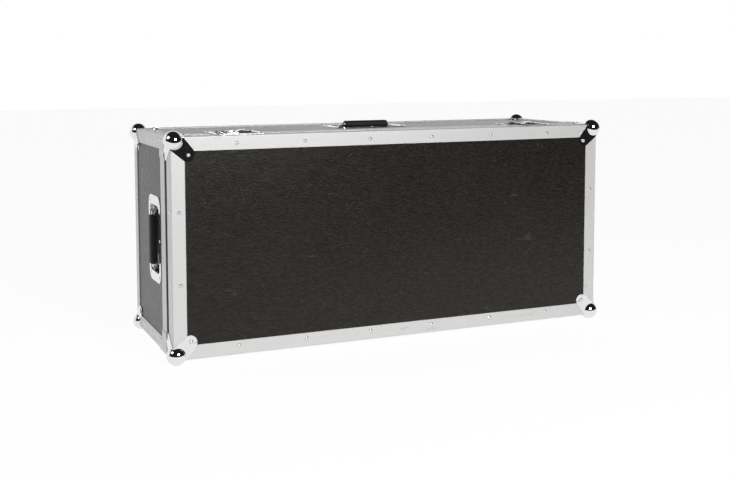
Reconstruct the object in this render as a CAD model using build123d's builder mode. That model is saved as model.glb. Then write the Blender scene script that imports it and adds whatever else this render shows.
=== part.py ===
"""Telescope transport case: an aluminium-edged box on its long side, with a shallow hinged lid.

Millimetres. X runs along the case, Y from the lid's face (-Y) to the back (+Y), Z up. The origin is on
the floor, under the middle of the case, which stands on its lowest four ball corners.
"""

import os
from math import cos, radians, sin, sqrt

from build123d import *

os.makedirs("parts", exist_ok=True)

# The box, over the outer faces of its aluminium
case_length = 1060.0
case_depth = 352.0
case_height = 470.0
lid_depth = 71.0
seam_gap = 0.4

# Boards and aluminium sections
board_thickness = 9.0
wall = 1.5
edge_leg = 30.5
lid_side_leg = 33.5
edge_inner_leg = 24.0
edge_radius = 2.5
edge_setback = 24.0
rail_width = 18.5
rail_inner_leg = 12.0
slot_play = 0.2
board_hairline = 0.05
mitre_gap = 0.2

# Tongue and groove that line the lid up with the base
tongue_inset = 4.5
tongue_width = 3.0
tongue_length = 3.0
tongue_chamfer = 0.75
groove_play = 0.8
groove_depth_play = 0.6

# Ball corners
ball_radius = 21.0
ball_inset = 9.0
cap_sheet = 1.6
cap_fold = 27.0
cap_lobe_centre = 36.5
cap_lobe_radius = 15.5

# Corner braces at the mouth
brace_arm = 48.0
brace_along = 41.0
brace_height = 27.0
brace_radius = 3.0

# Latches
latch_from_end = 160.0
latch_width = 112.0
latch_flange = 11.0
latch_front_reach = 56.0
latch_back_reach = 56.0
latch_depth = 18.5
latch_sheet = 1.5
latch_corner = 8.0
cutout_play = 0.5
rotor_from_seam = 12.0
rotor_radius = 15.0
rotor_top_depth = 5.0
rotor_thickness = 5.0
cam_radius = 9.0
cam_throw = 8.0
cam_play = 1.0
hook_thickness = 2.0
hook_nose_width = 20.0
hook_band = 4.0
hook_overlap = 4.0
spindle_radius = 4.0
keeper_width = 40.0
keeper_depth = 5.0
keeper_from_seam = 13.0
keeper_round = 1.25
stack_gap = 0.3
running_play = 0.05
wing_pivot_radius = 2.8
wing_pin_radius = 1.5
wing_pivot_depth = 1.7
ear_gap = 19.4
ear_thickness = 3.0
ear_radius = 3.2
wing_half_span = 34.0
wing_sheet = 2.0
wing_inner = 6.0
wing_reach = 24.0
wing_bend = 18.0
wing_lift = 0.7
wing_tip_rise = 2.2
wing_lobe_radius = 8.0
wing_notch_radius = 12.0
wing_notch_depth = 6.0

# Handles
handle_plate_length = 191.0
handle_plate_width = 108.0
handle_plate_corner = 24.0
handle_sheet = 1.5
handle_pocket_length = 152.0
handle_pocket_width = 84.0
handle_pocket_depth = 15.0
handle_pocket_corner = 12.0
handle_socket_radius = 6.0
handle_socket_length = 7.0
bail_rod_radius = 4.0
bail_half_span = 60.0
bail_bend = 6.0
bail_stub = 20.0
bail_pivot_across = 25.0
bail_pivot_depth = 7.0
bail_arm_length = 35.0
bail_fold_angle = 20.0
grip_length = 108.0
grip_edge = 7.0
grip_end = 2.5
grip_width = 25.0
grip_thickness = 16.0
grip_play = 0.02
spring_wire = 1.4
spring_turns = 3.0
spring_pitch = 1.9
spring_play = 0.5
spring_wire_sides = 6
top_handle_from_front = 205.0
end_handle_from_front = 153.0
end_handle_height = 237.0

# Hinges under the case
hinge_from_end = 190.0
hinge_width = 64.0
hinge_leaf = 36.0
hinge_sheet = 2.0
knuckle_radius = 4.0
middle_knuckle = 24.0
knuckle_play = 0.3
hinge_pin_radius = 2.0
hinge_pin_head = 3.0
hinge_pin_head_length = 1.5

# Foam
foam_play = 0.5
base_foam_floor = 28.0
cradle_length = 840.0
cradle_width = 250.0
cradle_low_wall = 34.0
pocket_count = 4
pocket_length = 196.0
pocket_width = 92.0
pocket_depth = 150.0
pocket_wall = 34.0
foam_joint = 0.4
cradle_arc_step = 30.0
lid_foam_thickness = 56.0
lid_hollow_depth = 34.0
lid_hollow_margin = 40.0
lid_hollow_corner = 20.0
hardware_room = 6.0

# Planes and levels worked out from the sizes above
half_length = case_length / 2
front_y = -case_depth / 2
back_y = case_depth / 2
bottom_z = ball_radius - ball_inset
top_z = bottom_z + case_height
middle_z = bottom_z + case_height / 2
seam_y = front_y + lid_depth
base_mouth_y = seam_y + seam_gap / 2
lid_mouth_y = seam_y - seam_gap / 2
inner_face = wall + board_thickness
slot_inset = inner_face + wall


def save(piece, name, place=None):
    """Write one finished piece under its own name, moved to its place on the case if it has one."""
    solid = piece.part.moved(place) if place else piece.part
    solid.label = name
    export_step(solid, f"parts/{name}.step")


def block(low, high, mode=Mode.ADD):
    """Add or cut a box between two corners."""
    middle = [(a + b) / 2 for a, b in zip(low, high)]
    size = [b - a for a, b in zip(low, high)]
    with Locations(Location(middle)):
        Box(*size, mode=mode)


def ring(start_y, outer_inset, inner_inset, corner=0.0):
    """A rectangular frame in the plane of the mouth, between two distances in from the outer faces."""
    with BuildSketch(Plane((0, start_y, middle_z), x_dir=(1, 0, 0), z_dir=(0, 1, 0))) as frame:
        width, height = case_length - 2 * outer_inset, case_height - 2 * outer_inset
        if corner:
            RectangleRounded(width, height, corner)
        else:
            Rectangle(width, height)
        Rectangle(case_length - 2 * inner_inset, case_height - 2 * inner_inset, mode=Mode.SUBTRACT)
    return frame.sketch


# Where the latches sit, and the holes that they need in the boards and the aluminium
latch_xs = {"left": -half_length + latch_from_end, "right": half_length - latch_from_end}
latch_half_pocket = latch_width / 2 - latch_flange
latch_front = seam_y - latch_front_reach + latch_flange
latch_back = seam_y + latch_back_reach - latch_flange


def cut_latch_pockets():
    """Cut the holes for both latches out of the piece being made."""
    reach = latch_half_pocket + cutout_play
    for x in latch_xs.values():
        block(
            (x - reach, latch_front - cutout_play, top_z - latch_depth - hardware_room),
            (x + reach, latch_back + cutout_play, top_z + wall),
            Mode.SUBTRACT,
        )


# Boards. Each edge stops in the slot of the aluminium section that holds it.
def board(low, high, latches=False, handle=None, hairlines=()):
    """A plain board between two corners, with its hardware's holes. Hairlines part it at the sides of holes."""
    with BuildPart() as piece:
        block(low, high)
        if latches:
            cut_latch_pockets()
        if handle:
            cut_handle_pocket(handle)
        for x in hairlines:
            block((x - board_hairline / 2, *low[1:]), (x + board_hairline / 2, *high[1:]), Mode.SUBTRACT)
    return piece


# Each handle's own frame: X along its grip, Y across it, Z out of the case
end_handle_y = front_y + end_handle_from_front
end_handle_z = bottom_z + end_handle_height
handle_frames = {
    "top": Plane((0, front_y + top_handle_from_front, top_z), x_dir=(1, 0, 0), z_dir=(0, 0, 1)),
    "left": Plane((-half_length, end_handle_y, end_handle_z), x_dir=(0, 0, 1), z_dir=(-1, 0, 0)),
    "right": Plane((half_length, end_handle_y, end_handle_z), x_dir=(0, 0, -1), z_dir=(1, 0, 0)),
}
handle_hole_length = handle_pocket_length + 2 * (handle_socket_length + cutout_play)
handle_hole_width = handle_pocket_width + 2 * cutout_play


def cut_handle_pocket(frame, room=0.0, depth=handle_pocket_depth):
    """Cut the hole for a handle's dish out of the piece being made."""
    with BuildSketch(frame.offset(-depth - room)) as hole:
        Rectangle(handle_hole_length + 2 * room, handle_hole_width + 2 * room)
    extrude(hole.sketch, amount=depth + room + wall, mode=Mode.SUBTRACT)


side_start_y = front_y + slot_inset
side_end_y = back_y - slot_inset
rail_web_y = base_mouth_y + wall + slot_play
groove_floor_y = lid_mouth_y - tongue_length - groove_depth_play
lid_side_end_y = groove_floor_y - wall - slot_play

top_hole_sides = [side * handle_hole_length / 2 for side in (-1, 1)]
for x in latch_xs.values():
    top_hole_sides += [x + side * (latch_half_pocket + cutout_play) for side in (-1, 1)]

base_back_panel = board(
    (-half_length + slot_inset, back_y - inner_face, bottom_z + slot_inset),
    (half_length - slot_inset, back_y - wall, top_z - slot_inset),
)
base_top_panel = board(
    (-half_length + slot_inset, rail_web_y, top_z - inner_face),
    (half_length - slot_inset, side_end_y, top_z - wall),
    latches=True,
    handle=handle_frames["top"],
    hairlines=top_hole_sides,
)
base_bottom_panel = board(
    (-half_length + slot_inset, rail_web_y, bottom_z + wall),
    (half_length - slot_inset, side_end_y, bottom_z + inner_face),
)
base_left_panel = board(
    (-half_length + wall, rail_web_y, bottom_z + slot_inset),
    (-half_length + inner_face, side_end_y, top_z - slot_inset),
    handle=handle_frames["left"],
)
base_right_panel = board(
    (half_length - inner_face, rail_web_y, bottom_z + slot_inset),
    (half_length - wall, side_end_y, top_z - slot_inset),
    handle=handle_frames["right"],
)
lid_face_panel = board(
    (-half_length + slot_inset, front_y + wall, bottom_z + slot_inset),
    (half_length - slot_inset, front_y + inner_face, top_z - slot_inset),
)
lid_top_board = board(
    (-half_length + slot_inset, side_start_y, top_z - inner_face),
    (half_length - slot_inset, lid_side_end_y, top_z - wall),
    latches=True,
)
lid_bottom_board = board(
    (-half_length + slot_inset, side_start_y, bottom_z + wall),
    (half_length - slot_inset, lid_side_end_y, bottom_z + inner_face),
)
lid_left_board = board(
    (-half_length + wall, side_start_y, bottom_z + slot_inset),
    (-half_length + inner_face, lid_side_end_y, top_z - slot_inset),
)
lid_right_board = board(
    (half_length - inner_face, side_start_y, bottom_z + slot_inset),
    (half_length - wall, lid_side_end_y, top_z - slot_inset),
)
for piece, name in (
    (base_back_panel, "base_back_panel"),
    (base_top_panel, "base_top_panel"),
    (base_bottom_panel, "base_bottom_panel"),
    (base_left_panel, "base_left_panel"),
    (base_right_panel, "base_right_panel"),
    (lid_face_panel, "lid_face_panel"),
    (lid_top_board, "lid_top_board"),
    (lid_bottom_board, "lid_bottom_board"),
    (lid_left_board, "lid_left_board"),
    (lid_right_board, "lid_right_board"),
):
    save(piece, name)


# Edge section: an outer angle, an inner angle and the hollow corner tube between them, with a slot for a board
# each way
def edge_section(plane, first_leg, second_leg):
    """The section's outline on a plane with the outer corner at its origin and the legs along X and Y."""
    tube = slot_inset - slot_play
    with BuildSketch(plane) as section:
        with BuildLine():
            Polyline(
                (0, 0), (first_leg, 0), (first_leg, wall), (tube, wall), (tube, inner_face + slot_play),
                (edge_inner_leg, inner_face + slot_play), (edge_inner_leg, slot_inset + slot_play),
                (slot_inset + slot_play, slot_inset + slot_play), (slot_inset + slot_play, edge_inner_leg),
                (inner_face + slot_play, edge_inner_leg), (inner_face + slot_play, tube), (wall, tube),
                (wall, second_leg), (0, second_leg), close=True,
            )
        make_face()
        with Locations((tube / 2, tube / 2)):
            Rectangle(tube - 2 * wall, tube - 2 * wall, mode=Mode.SUBTRACT)
        fillet(section.vertices().sort_by_distance((0, 0, 0))[0], edge_radius)
    return section.sketch


def edge_length(start, direction, first, second, length, legs):
    """One length of edge section: its corner line starts at a point and its legs run along two directions."""
    normal = Vector(first).cross(Vector(second))
    along = length if normal.dot(Vector(direction)) > 0 else -length
    extrude(edge_section(Plane(start, x_dir=first, z_dir=normal), *legs), amount=along)


def cope(x, y, z, across_x, across_y, across_z):
    """Cut the square at a corner of the case where one section's leg makes room for the next.

    Each span is a distance in from the corner's faces: from the surface for the face that both legs lie
    on, and from the sections' ends for the two others.
    """
    low, high = [], []
    for corner, span, middle in ((x, across_x, 0), (y, across_y, 0), (z, across_z, middle_z)):
        inward = 1 if corner < middle else -1
        ends = sorted(corner + inward * distance for distance in span)
        low.append(ends[0])
        high.append(ends[1])
    block(low, high, Mode.SUBTRACT)


skin_span = (-wall, wall + slot_play)
leg_span = (edge_setback - slot_play, edge_leg + slot_play)
lid_leg_span = (edge_setback - slot_play, lid_side_leg + slot_play)
case_corners = [(x, z) for x in (-half_length, half_length) for z in (bottom_z, top_z)]

with BuildPart() as base_back_edges:
    long_run = case_length - 2 * edge_setback
    tall_run = case_height - 2 * edge_setback
    for z, inward in ((bottom_z, 1), (top_z, -1)):
        start = (-half_length + edge_setback, back_y, z)
        edge_length(start, (1, 0, 0), (0, -1, 0), (0, 0, inward), long_run, (edge_leg, edge_leg))
    for x, inward in ((-half_length, 1), (half_length, -1)):
        start = (x, back_y, bottom_z + edge_setback)
        with BuildPart(mode=Mode.PRIVATE) as upright:
            edge_length(start, (0, 0, 1), (0, -1, 0), (inward, 0, 0), tall_run, (edge_leg, edge_leg))
            for z in (bottom_z, top_z):
                cope(x, back_y, z, leg_span, skin_span, leg_span)
        add(upright.part)
save(base_back_edges, "base_back_edges")

with BuildPart() as base_side_edges:
    start_y = base_mouth_y + rail_width + slot_play
    for x, inward in ((-half_length, 1), (half_length, -1)):
        for z, upward in ((bottom_z, 1), (top_z, -1)):
            run = back_y - edge_setback - start_y
            edge_length((x, start_y, z), (0, 1, 0), (inward, 0, 0), (0, 0, upward), run, (edge_leg, edge_leg))
            cope(x, back_y, z, leg_span, leg_span, skin_span)
            cope(x, back_y, z, skin_span, leg_span, leg_span)
save(base_side_edges, "base_side_edges")

with BuildPart() as lid_face_edges:
    for z, inward in ((bottom_z, 1), (top_z, -1)):
        start = (-half_length + edge_setback, front_y, z)
        edge_length(start, (1, 0, 0), (0, 1, 0), (0, 0, inward), long_run, (lid_side_leg, edge_leg))
    for x, inward in ((-half_length, 1), (half_length, -1)):
        start = (x, front_y, bottom_z + edge_setback)
        with BuildPart(mode=Mode.PRIVATE) as upright:
            edge_length(start, (0, 0, 1), (0, 1, 0), (inward, 0, 0), tall_run, (lid_side_leg, edge_leg))
            for z in (bottom_z, top_z):
                cope(x, front_y, z, leg_span, skin_span, leg_span)
        add(upright.part)
    cut_latch_pockets()
save(lid_face_edges, "lid_face_edges")

with BuildPart() as lid_side_edges:
    end_y = lid_mouth_y - rail_width - slot_play
    for x, inward in ((-half_length, 1), (half_length, -1)):
        for z, upward in ((bottom_z, 1), (top_z, -1)):
            run = end_y - front_y - edge_setback
            start = (x, front_y + edge_setback, z)
            edge_length(start, (0, 1, 0), (inward, 0, 0), (0, 0, upward), run, (edge_leg, edge_leg))
            cope(x, front_y, z, leg_span, lid_leg_span, skin_span)
            cope(x, front_y, z, skin_span, lid_leg_span, leg_span)
save(lid_side_edges, "lid_side_edges")

# Mouth rails: mitred lengths of channel over the boards' edges, with a tongue on the base and a groove in
# the lid
def mitre_corners(y):
    """Part the rail being made where its lengths meet at the four corners."""
    reach = 2 * edge_leg
    for x, z in case_corners:
        lean = -45 if x * (z - middle_z) > 0 else 45
        with Locations(Location((x, y, z), (0, lean, 0))):
            Box(reach, reach, mitre_gap, mode=Mode.SUBTRACT)


tongue_far = tongue_inset + tongue_width
with BuildPart() as base_mouth_rail:
    extrude(ring(base_mouth_y, 0, wall, edge_radius), amount=rail_width)
    extrude(ring(base_mouth_y, wall, slot_inset + slot_play), amount=wall)
    extrude(ring(base_mouth_y, inner_face + slot_play, slot_inset + slot_play), amount=rail_inner_leg)
    extrude(ring(base_mouth_y - tongue_length, tongue_inset, tongue_far), amount=tongue_length)
    tips = base_mouth_rail.faces().sort_by(Axis.Y)[0].edges()
    chamfer(tips, tongue_chamfer)
    cut_latch_pockets()
    mitre_corners(base_mouth_y)
save(base_mouth_rail, "base_mouth_rail")

with BuildPart() as lid_mouth_rail:
    rail_back = lid_mouth_y - rail_width
    extrude(ring(rail_back, 0, wall, edge_radius), amount=rail_width)
    extrude(ring(groove_floor_y - wall, wall, slot_inset + slot_play), amount=wall)
    groove_depth = lid_mouth_y - groove_floor_y
    extrude(ring(groove_floor_y, wall, tongue_inset - groove_play), amount=groove_depth)
    extrude(ring(groove_floor_y, tongue_far + groove_play, slot_inset + slot_play), amount=groove_depth)
    inner_start = groove_floor_y - wall - rail_inner_leg + slot_play
    extrude(ring(inner_start, inner_face + slot_play, slot_inset + slot_play), amount=rail_inner_leg)
    cut_latch_pockets()
    mitre_corners(lid_mouth_y)
save(lid_mouth_rail, "lid_mouth_rail")


# Ball corners: a pressed sheet folded over the three faces, with a lobe on each and a ball on the point
cap_planes = (
    Plane((0, 0, 0), x_dir=(1, 0, 0), z_dir=(0, 0, 1)),
    Plane((0, 0, 0), x_dir=(0, 1, 0), z_dir=(1, 0, 0)),
    Plane((0, 0, 0), x_dir=(0, 0, 1), z_dir=(0, 1, 0)),
)
cap_span = cap_lobe_centre + cap_lobe_radius + wall
crank_start = lid_side_leg + slot_play


def cap_outline(plane, cranked=False):
    """One face's share of a ball corner: from the folds to a round lobe on the diagonal."""
    reach = cap_lobe_centre
    lean = sqrt(0.5) * cap_lobe_radius
    with BuildSketch(plane) as outline:
        with BuildLine():
            Polyline(
                (-ball_radius, -ball_radius), (cap_fold, -ball_radius), (cap_fold, 0),
                (reach + lean, reach - lean), (reach - lean, reach + lean), (0, cap_fold),
                (-ball_radius, cap_fold), close=True,
            )
        make_face()
        with Locations((reach, reach)):
            Circle(cap_lobe_radius)
        if cranked:
            with Locations((crank_start, crank_start)):
                Rectangle(cap_span, cap_span, align=(Align.MIN, Align.MIN), mode=Mode.INTERSECT)
    return outline.sketch


def corner_block(low, high, radius):
    """A block whose three edges at its low corner are rounded."""
    with BuildPart() as piece:
        block((low,) * 3, (high,) * 3)
        near = [e for e in piece.edges() if sorted(e.center() - Vector(low, low, low))[1] < wall]
        fillet(near, radius)
    return piece.part


cap_outer = corner_block(-cap_sheet, cap_span, edge_radius + cap_sheet)
cap_inner = corner_block(0, 2 * cap_span, edge_radius)
with BuildPart() as cap_lobes:
    for plane in cap_planes:
        extrude(cap_outline(plane.offset(-cap_sheet)), amount=cap_sheet + edge_radius)
with BuildPart() as ball_corner:
    add(cap_outer)
    add(cap_lobes.part, mode=Mode.INTERSECT)
    with Locations((ball_inset,) * 3):
        Sphere(ball_radius)
    add(cap_inner, mode=Mode.SUBTRACT)
    low_skin = cap_sheet - wall
    for plane in cap_planes:
        with BuildSketch(plane.offset(-2 * cap_sheet)) as raised:
            with Locations((crank_start + wall, crank_start + wall)):
                Rectangle(cap_span, cap_span, align=(Align.MIN, Align.MIN))
        extrude(raised.sketch, amount=2 * cap_sheet - low_skin, mode=Mode.SUBTRACT)
        extrude(cap_outline(plane.offset(-low_skin), cranked=True), amount=cap_sheet)


def at_corner(part, x, y, z):
    """A copy of a corner piece, mirrored and moved so that it points out of the case at a corner."""
    for coordinate, about in ((x, Plane.YZ), (y, Plane.XZ), (z - middle_z, Plane.XY)):
        if coordinate > 0:
            part = part.mirror(about)
    return part.moved(Location((x, y, z)))


with BuildPart() as base_ball_corners:
    for x, z in case_corners:
        add(at_corner(ball_corner.part, x, back_y, z))
save(base_ball_corners, "base_ball_corners")
with BuildPart() as lid_ball_corners:
    for x, z in case_corners:
        add(at_corner(ball_corner.part, x, front_y, z))
save(lid_ball_corners, "lid_ball_corners")


# Corner braces: sheet angles folded over the case's long corners at the mouth
def brace(along):
    """A brace from the mouth (Y = 0) back: an arm down each face over the rail, and a strip along the edge."""
    with BuildPart() as piece:
        with BuildSketch(Plane.XZ) as section:
            Rectangle(brace_arm + cap_sheet, brace_arm + cap_sheet, align=(Align.MIN, Align.MIN))
            fillet(section.vertices().sort_by_distance((0, 0, 0))[0], edge_radius + cap_sheet)
            with Locations((cap_sheet, cap_sheet)):
                Rectangle(brace_arm, brace_arm, align=(Align.MIN, Align.MIN), mode=Mode.SUBTRACT)
            fillet(section.vertices().sort_by_distance((cap_sheet, cap_sheet, 0))[0], edge_radius)
        extrude(section.sketch, amount=-along)
        if along > rail_width:
            far = brace_arm + 2 * cap_sheet
            block((brace_height, rail_width, -cap_sheet), (far, along + wall, far), Mode.SUBTRACT)
            block((-cap_sheet, rail_width, brace_height), (far, along + wall, far), Mode.SUBTRACT)
        ends = piece.edges().filter_by(Axis.X).filter_by(lambda e: abs(e.length - cap_sheet) < slot_play)
        fillet(ends, brace_radius)
        ends = piece.edges().filter_by(Axis.Z).filter_by(lambda e: abs(e.length - cap_sheet) < slot_play)
        fillet(ends, brace_radius)
    return piece.part.moved(Location((-cap_sheet, 0, -cap_sheet)))


def braces(mouth_y, along, backwards):
    """Four braces, one on each long corner of the mouth."""
    with BuildPart() as pieces:
        for x, z in case_corners:
            one = brace(along)
            if x > 0:
                one = one.mirror(Plane.YZ)
            if z > middle_z:
                one = one.mirror(Plane.XY)
            if not backwards:
                one = one.mirror(Plane.XZ)
            add(one.moved(Location((x, mouth_y, z))))
    return pieces


base_corner_braces = braces(base_mouth_y, brace_along, True)
save(base_corner_braces, "base_corner_braces")
lid_corner_braces = braces(lid_mouth_y, rail_width, False)
save(lid_corner_braces, "lid_corner_braces")

# Latches, each in a frame whose origin is on the seam at the top face
dish_floor = -latch_depth + latch_sheet
rotor_top = -rotor_top_depth
rotor_bottom = rotor_top - rotor_thickness
hook_top = rotor_bottom - stack_gap
hook_bottom = hook_top - hook_thickness
cam_bottom = hook_bottom - stack_gap
window_y = rotor_from_seam + cam_throw / 2
window_half_width = cam_radius + cam_throw / 2 + stack_gap
window_half_length = cam_radius + cam_play

with BuildPart() as latch_dish:
    plate_length = latch_front_reach + latch_back_reach
    plate_middle = (latch_back_reach - latch_front_reach) / 2
    with BuildSketch(Plane.XY) as flange:
        with Locations((0, plate_middle)):
            RectangleRounded(latch_width, plate_length, latch_corner)
    extrude(flange.sketch, amount=latch_sheet)
    with BuildSketch(Plane.XY.offset(-latch_depth)) as pocket:
        with Locations((0, plate_middle)):
            RectangleRounded(latch_width - 2 * latch_flange, plate_length - 2 * latch_flange, latch_corner)
    extrude(pocket.sketch, amount=latch_depth)
    inner = latch_flange + latch_sheet
    with BuildSketch(Plane.XY.offset(dish_floor)) as hollow:
        with Locations((0, plate_middle)):
            RectangleRounded(latch_width - 2 * inner, plate_length - 2 * inner, latch_corner - latch_sheet)
    extrude(hollow.sketch, amount=latch_depth + latch_sheet, mode=Mode.SUBTRACT)

with BuildPart() as base_half_dish:
    add(latch_dish.part)
    half = latch_width
    block((-half, seam_gap / 2, -half), (half, half, half), Mode.INTERSECT)
    with Locations((0, rotor_from_seam, dish_floor)):
        Cylinder(spindle_radius + running_play, latch_depth, mode=Mode.SUBTRACT)

with BuildPart() as lid_half_dish:
    add(latch_dish.part)
    block((-half, -half, -half), (half, -seam_gap / 2, half), Mode.INTERSECT)

with BuildPart() as latch_keeper:
    keeper_top = hook_bottom - stack_gap
    block(
        (-keeper_width / 2, -keeper_from_seam - keeper_depth / 2, dish_floor),
        (keeper_width / 2, -keeper_from_seam + keeper_depth / 2, keeper_top),
    )
    fillet(latch_keeper.edges().group_by(Axis.Z)[-1].filter_by(Axis.X), keeper_round)

with BuildPart() as latch_hook:
    nose_y = -keeper_from_seam - keeper_depth / 2 - hook_overlap
    body_front = window_y - window_half_length - hook_band
    with BuildSketch(Plane.XY.offset(hook_bottom)) as outline:
        with Locations((0, body_front)):
            width, length = 2 * (window_half_width + hook_band), 2 * (window_half_length + hook_band)
            Rectangle(width, length, align=(Align.CENTER, Align.MIN))
        fillet(outline.vertices(), hook_band)
        with Locations((0, nose_y)):
            Rectangle(hook_nose_width, body_front + hook_band - nose_y, align=(Align.CENTER, Align.MIN))
        with Locations((0, window_y)):
            Rectangle(2 * window_half_width, 2 * window_half_length, mode=Mode.SUBTRACT)
    extrude(outline.sketch, amount=hook_thickness)
    lip = latch_hook.edges().filter_by(Axis.X).sort_by(Axis.Y)[:2].sort_by(Axis.Z)[0]
    chamfer(lip, hook_thickness / 2)

with BuildPart() as latch_rotor:
    with Locations((0, rotor_from_seam, rotor_bottom)):
        Cylinder(rotor_radius, rotor_thickness, align=(Align.CENTER, Align.CENTER, Align.MIN))
    with Locations((0, window_y, cam_bottom)):
        Cylinder(cam_radius, rotor_bottom - cam_bottom, align=(Align.CENTER, Align.CENTER, Align.MIN))
    with Locations((0, rotor_from_seam, -latch_depth)):
        Cylinder(spindle_radius, latch_depth + cam_bottom, align=(Align.CENTER, Align.CENTER, Align.MIN))
    for side in (-1, 1):
        inner_x = side * ear_gap / 2
        ear_height = -rotor_top - wing_pivot_depth
        ear_plane = Plane((inner_x, rotor_from_seam, -wing_pivot_depth), x_dir=(0, 1, 0), z_dir=(1, 0, 0))
        with BuildSketch(ear_plane) as ear:
            Circle(ear_radius)
            with Locations((0, -ear_height / 2)):
                Rectangle(2 * ear_radius, ear_height)
            Circle(wing_pin_radius + running_play, mode=Mode.SUBTRACT)
        extrude(ear.sketch, amount=side * ear_thickness)

with BuildPart() as latch_wing:
    pivot = (0, rotor_from_seam, -wing_pivot_depth)
    underside = -wing_pivot_depth - wing_sheet / 2
    lifted = latch_sheet + wing_lift
    tip = lifted + wing_tip_rise
    with BuildSketch(Plane.XZ.offset(-rotor_from_seam - wing_reach)) as ribbon:
        with BuildLine():
            Polyline(
                (-wing_half_span, tip), (-wing_bend, lifted),
                (-ear_gap / 2, underside), (ear_gap / 2, underside),
                (wing_bend, lifted), (wing_half_span, tip), (wing_half_span, tip + wing_sheet),
                (wing_bend, lifted + wing_sheet), (ear_gap / 2, underside + wing_sheet),
                (-ear_gap / 2, underside + wing_sheet), (-wing_bend, lifted + wing_sheet),
                (-wing_half_span, tip + wing_sheet), close=True,
            )
        make_face()
    extrude(ribbon.sketch, amount=wing_reach)
    with BuildSketch(Plane.XY.offset(-latch_depth)) as plan:
        with Locations((0, rotor_from_seam + (wing_inner + wing_reach) / 2)):
            RectangleRounded(2 * wing_half_span, wing_reach - wing_inner, wing_lobe_radius)
        with Locations((0, rotor_from_seam)):
            Rectangle(ear_gap - 2 * stack_gap, wing_inner + wing_lobe_radius, align=(Align.CENTER, Align.MIN))
        with Locations((0, rotor_from_seam + wing_reach + wing_notch_radius - wing_notch_depth)):
            Circle(wing_notch_radius, mode=Mode.SUBTRACT)
    extrude(plan.sketch, amount=2 * latch_depth, mode=Mode.INTERSECT)
    with Locations(Location(pivot, (0, 90, 0))):
        Cylinder(wing_pivot_radius, ear_gap - 2 * stack_gap)
        Cylinder(wing_pin_radius, ear_gap + 2 * ear_thickness + 2 * stack_gap)

for side, x in latch_xs.items():
    place = Location((x, seam_y, top_z))
    save(base_half_dish, f"{side}_latch_base_dish", place)
    save(lid_half_dish, f"{side}_latch_lid_dish", place)
    save(latch_keeper, f"{side}_latch_keeper", place)
    save(latch_hook, f"{side}_latch_hook", place)
    save(latch_rotor, f"{side}_latch_rotor", place)
    save(latch_wing, f"{side}_latch_wing", place)

# Handles, each in its own frame: X along the grip, Y across it, Z out of the case
arm_across = bail_arm_length * cos(radians(bail_fold_angle))
arm_out = bail_arm_length * sin(radians(bail_fold_angle))
grip_across = bail_pivot_across - arm_across
grip_out = -bail_pivot_depth + arm_out
socket_x = handle_pocket_length / 2

with BuildPart() as handle_dish:
    with BuildSketch(Plane.XY.offset(-wall)) as flange:
        RectangleRounded(handle_plate_length, handle_plate_width, handle_plate_corner)
    extrude(flange.sketch, amount=handle_sheet)
    with BuildSketch(Plane.XY.offset(-handle_pocket_depth)) as pocket:
        RectangleRounded(handle_pocket_length, handle_pocket_width, handle_pocket_corner)
    extrude(pocket.sketch, amount=handle_pocket_depth - wall)
    socket_axis = (bail_pivot_across, -bail_pivot_depth)
    for side in (-1, 1):
        with BuildSketch(Plane((side * socket_x, 0, 0), x_dir=(0, 1, 0), z_dir=(1, 0, 0))) as socket:
            with Locations(socket_axis):
                Circle(handle_socket_radius)
        extrude(socket.sketch, amount=side * handle_socket_length)
    with BuildSketch(Plane.XY.offset(-handle_pocket_depth + handle_sheet)) as hollow:
        RectangleRounded(
            handle_pocket_length - 2 * handle_sheet,
            handle_pocket_width - 2 * handle_sheet,
            handle_pocket_corner - handle_sheet,
        )
    extrude(hollow.sketch, amount=2 * handle_pocket_depth, mode=Mode.SUBTRACT)
    hole_reach = bail_half_span + bail_stub + stack_gap
    with BuildSketch(Plane((-hole_reach, 0, 0), x_dir=(0, 1, 0), z_dir=(1, 0, 0))) as hole:
        with Locations(socket_axis):
            Circle(bail_rod_radius + running_play)
    extrude(hole.sketch, amount=2 * hole_reach, mode=Mode.SUBTRACT)

with BuildPart() as handle_bail:
    stub_end = bail_half_span + bail_stub
    with BuildLine() as route:
        FilletPolyline(
            (-stub_end, bail_pivot_across, -bail_pivot_depth),
            (-bail_half_span, bail_pivot_across, -bail_pivot_depth),
            (-bail_half_span, grip_across, grip_out),
            (bail_half_span, grip_across, grip_out),
            (bail_half_span, bail_pivot_across, -bail_pivot_depth),
            (stub_end, bail_pivot_across, -bail_pivot_depth),
            radius=bail_bend,
        )
    rod_plane = Plane((-stub_end, bail_pivot_across, -bail_pivot_depth), x_dir=(0, 1, 0), z_dir=(1, 0, 0))
    with BuildSketch(rod_plane) as rod:
        Circle(bail_rod_radius)
    sweep(rod.sketch, path=route.line)

with BuildPart() as handle_grip:
    grip_plane = Plane((-grip_length / 2, grip_across, grip_out), x_dir=(0, 1, 0), z_dir=(1, 0, 0))
    with BuildSketch(grip_plane) as section:
        RectangleRounded(grip_width, grip_thickness, grip_edge)
    extrude(section.sketch, amount=grip_length)
    fillet(handle_grip.faces().filter_by(Axis.X).edges(), grip_end)
    with Locations(Location((0, grip_across, grip_out), (0, 90, 0))):
        Cylinder(bail_rod_radius + grip_play, grip_length, mode=Mode.SUBTRACT)

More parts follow.
